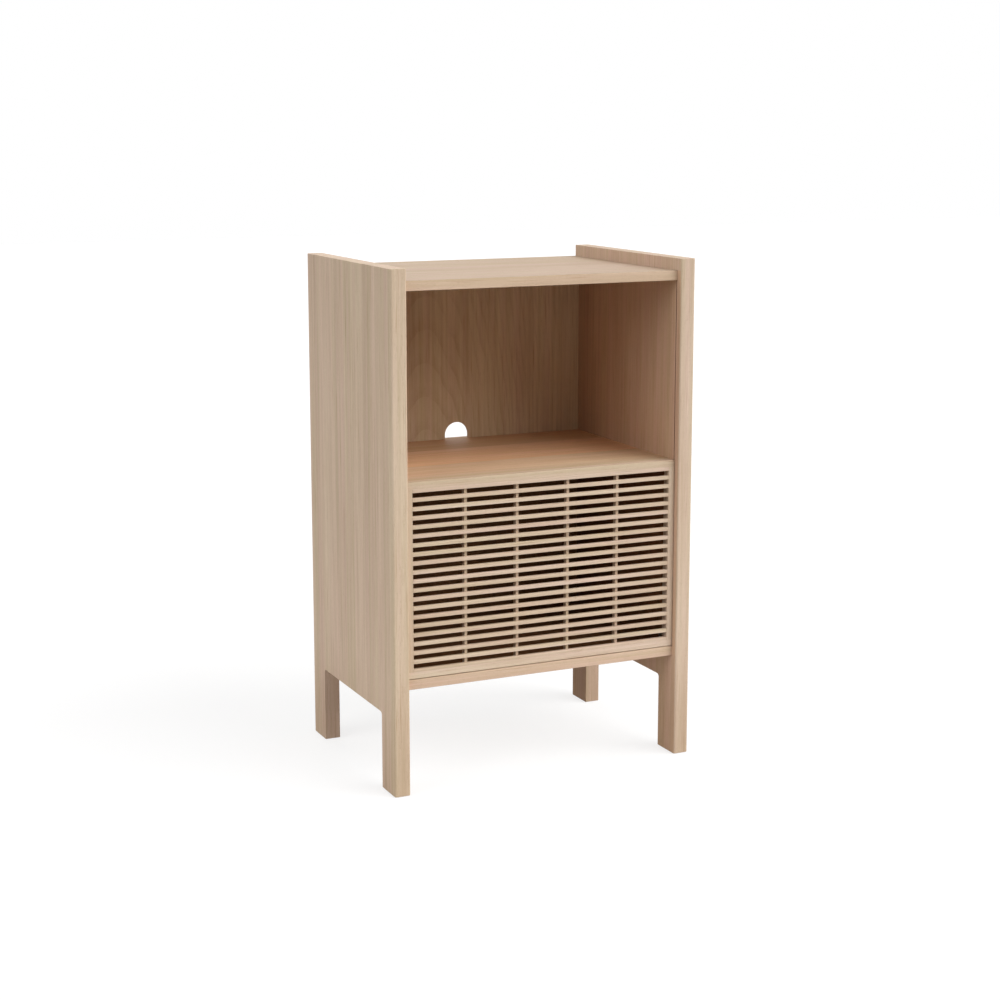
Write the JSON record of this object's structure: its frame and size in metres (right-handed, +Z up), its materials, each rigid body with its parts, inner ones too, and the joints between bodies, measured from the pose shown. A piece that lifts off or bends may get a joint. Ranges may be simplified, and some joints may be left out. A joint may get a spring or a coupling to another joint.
{
  "type": "record cabinet",
  "caption": "Free-standing oak record cabinet with a sunk top, an open compartment with a cable hole, and a compartment behind a drop-down slatted flap.",
  "frame": {"origin": "on the floor under the middle of the cabinet, at the centre of its footprint", "axes": "+Z up; +X to the right as seen from the front, along the width; the flap is on the -Y side and +Y is the rear"},
  "size_m": [0.6, 0.424, 0.941],
  "materials": {
    "oak_side": "pale whitewashed oak veneer, matt lacquer, upright grain",
    "oak_board": "pale whitewashed oak veneer, matt lacquer, grain along the width",
    "oak_back": "thin oak-veneered panel, matt lacquer",
    "oak_flap_frame": "solid oak, matt lacquer",
    "oak_slat": "solid oak, matt lacquer, crisp eased edges",
    "dowel": "bare beech",
    "glide": "matt nylon",
    "hinge": "satin zinc-plated steel",
    "magnet": "nickel-plated"
  },
  "bodies": {
    "cabinet": {"side_panel_left": "oak_side", "side_panel_right": "oak_side", "top_board": "oak_board", "shelf": "oak_board", "bottom_board": "oak_board", "upper_back_panel": "oak_back", "lower_back_panel": "oak_back", "dowel_top_left_front": "dowel", "dowel_top_left_rear": "dowel", "dowel_top_right_front": "dowel", "dowel_top_right_rear": "dowel", "dowel_shelf_left_front": "dowel", "dowel_shelf_left_rear": "dowel", "dowel_shelf_right_front": "dowel", "dowel_shelf_right_rear": "dowel", "dowel_bottom_left_front": "dowel", "dowel_bottom_left_rear": "dowel", "dowel_bottom_right_front": "dowel", "dowel_bottom_right_rear": "dowel", "glide_left_front": "glide", "glide_left_rear": "glide", "glide_right_front": "glide", "glide_right_rear": "glide", "hinge_leaf_side_left": "hinge", "hinge_leaf_side_right": "hinge", "hinge_pin_left": "hinge", "hinge_pin_right": "hinge", "shelf_magnet": "magnet"},
    "flap": {"flap_bottom_rail": "oak_flap_frame", "flap_top_rail": "oak_flap_frame", "flap_stile_left": "oak_flap_frame", "flap_stile_right": "oak_flap_frame", "flap_border_bottom": "oak_slat", "flap_border_top": "oak_slat", "slat_01": "oak_slat", "slat_02": "oak_slat", "slat_03": "oak_slat", "slat_04": "oak_slat", "slat_05": "oak_slat", "slat_06": "oak_slat", "slat_07": "oak_slat", "slat_08": "oak_slat", "slat_09": "oak_slat", "slat_10": "oak_slat", "slat_11": "oak_slat", "slat_12": "oak_slat", "slat_13": "oak_slat", "slat_14": "oak_slat", "slat_15": "oak_slat", "slat_16": "oak_slat", "slat_17": "oak_slat", "slat_18": "oak_slat", "slat_19": "oak_slat", "lattice_bar_1": "oak_slat", "lattice_bar_2": "oak_slat", "lattice_bar_3": "oak_slat", "lattice_bar_4": "oak_slat", "hinge_leaf_flap_left": "hinge", "hinge_leaf_flap_right": "hinge", "flap_magnet": "magnet"}
  },
  "joints": [
    {"name": "flap_hinge", "type": "hinge", "parent": "cabinet", "child": "flap", "pos_m": [0, -0.1955, 0.217], "axis": [1, 0, 0], "range_deg": [0, 90]}
  ]
}
